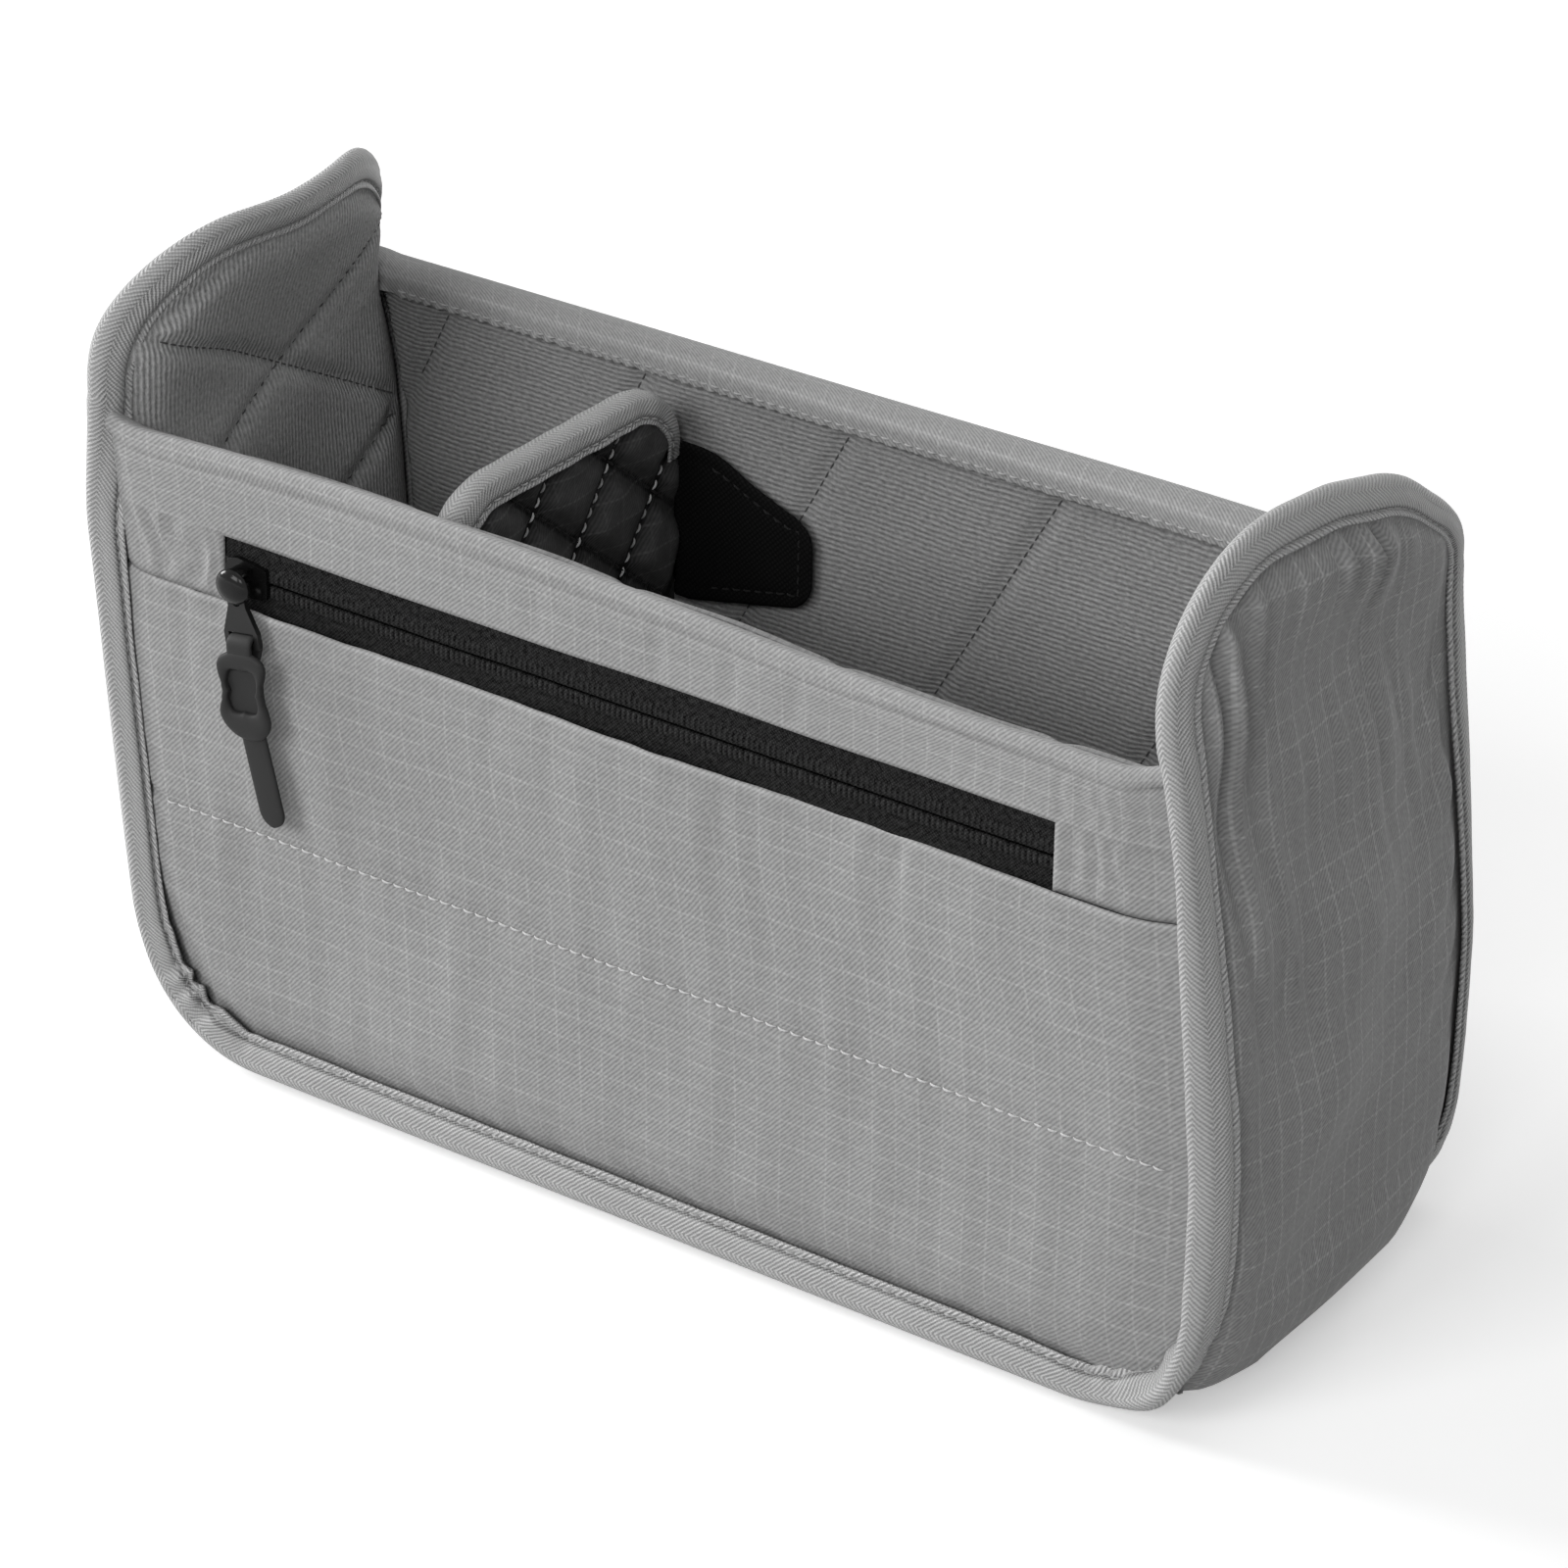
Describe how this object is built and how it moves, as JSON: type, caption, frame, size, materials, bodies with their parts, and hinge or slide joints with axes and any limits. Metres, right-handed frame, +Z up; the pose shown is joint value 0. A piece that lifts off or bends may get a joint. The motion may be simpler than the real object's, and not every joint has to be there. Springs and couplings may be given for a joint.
{
  "type": "camera bag insert",
  "caption": "Open-topped padded insert with rounded end walls, bound edges, a zipped flat front pocket and a movable quilted divider held by hook-and-loop flaps.",
  "frame": {"origin": "on the floor under the middle of the part's box", "axes": "+X to the right along the front, +Y from the front to the back, +Z up"},
  "size_m": [0.282, 0.1128, 0.186],
  "materials": {
    "ripstop": "matte grey ripstop with a lighter thread grid",
    "foam": "closed-cell padding",
    "lining": "brushed loop knit, quilted in large diamonds",
    "binding": "grey herringbone tape",
    "pocket_liner": "thin plain weave",
    "zip_tape": "woven zip tape",
    "zip_coil": "nylon coil",
    "slider": "gloss black enamel",
    "pull": "satin moulded rubber",
    "divider_cloth": "black ripstop, quilted in diamonds with pale stitching",
    "flap": "black webbing with sewn border",
    "hook": "hook tape"
  },
  "bodies": {
    "bag": {"gusset_shell": "ripstop", "gusset_foam": "foam", "gusset_lining": "lining", "edge_binding": "binding", "front_pocket_panel": "ripstop", "front_top_panel": "ripstop", "pocket_liner": "pocket_liner", "front_foam": "foam", "front_lining": "lining", "back_panel": "ripstop", "back_foam": "foam", "back_lining": "lining", "zip_tape_upper": "zip_tape", "zip_tape_lower": "zip_tape", "zip_coil_upper": "zip_coil", "zip_coil_lower": "zip_coil"},
    "slider": {"zip_slider": "slider"},
    "link": {"pull_link": "slider"},
    "pull": {"pull_tab": "pull"},
    "divider": {"divider_foam": "foam", "divider_face_left": "divider_cloth", "divider_face_right": "divider_cloth", "divider_binding": "binding"},
    "back_flap": {"flap_back": "flap", "flap_back_hook": "hook"},
    "front_flap": {"flap_front": "flap", "flap_front_hook": "hook"}
  },
  "joints": [
    {"name": "zip_slide", "type": "slide", "parent": "bag", "child": "slider", "axis": [1, 0, 0], "range_m": [0, 0.191]},
    {"name": "pull_swing", "type": "hinge", "parent": "slider", "child": "link", "pos_m": [-0.0955, -0.05395, 0.1199], "axis": [0, -1, 0], "range_deg": [-89, 71]},
    {"name": "pull_lift", "type": "hinge", "parent": "link", "child": "pull", "pos_m": [-0.09347, -0.05395, 0.10706], "axis": [-0.9877, 0, -0.1564], "range_deg": [0, 90]},
    {"name": "divider_move", "type": "slide", "parent": "bag", "child": "divider", "axis": [1, 0, 0], "range_m": [-0.0455, 0.1385]},
    {"name": "back_flap_peel", "type": "hinge", "parent": "divider", "child": "back_flap", "pos_m": [-0.05135, 0.0444, 0.109], "axis": [0, 0, -1], "range_deg": [0, 80]},
    {"name": "front_flap_peel", "type": "hinge", "parent": "divider", "child": "front_flap", "pos_m": [-0.05135, -0.0384, 0.109], "axis": [0, 0, 1], "range_deg": [0, 80]}
  ]
}
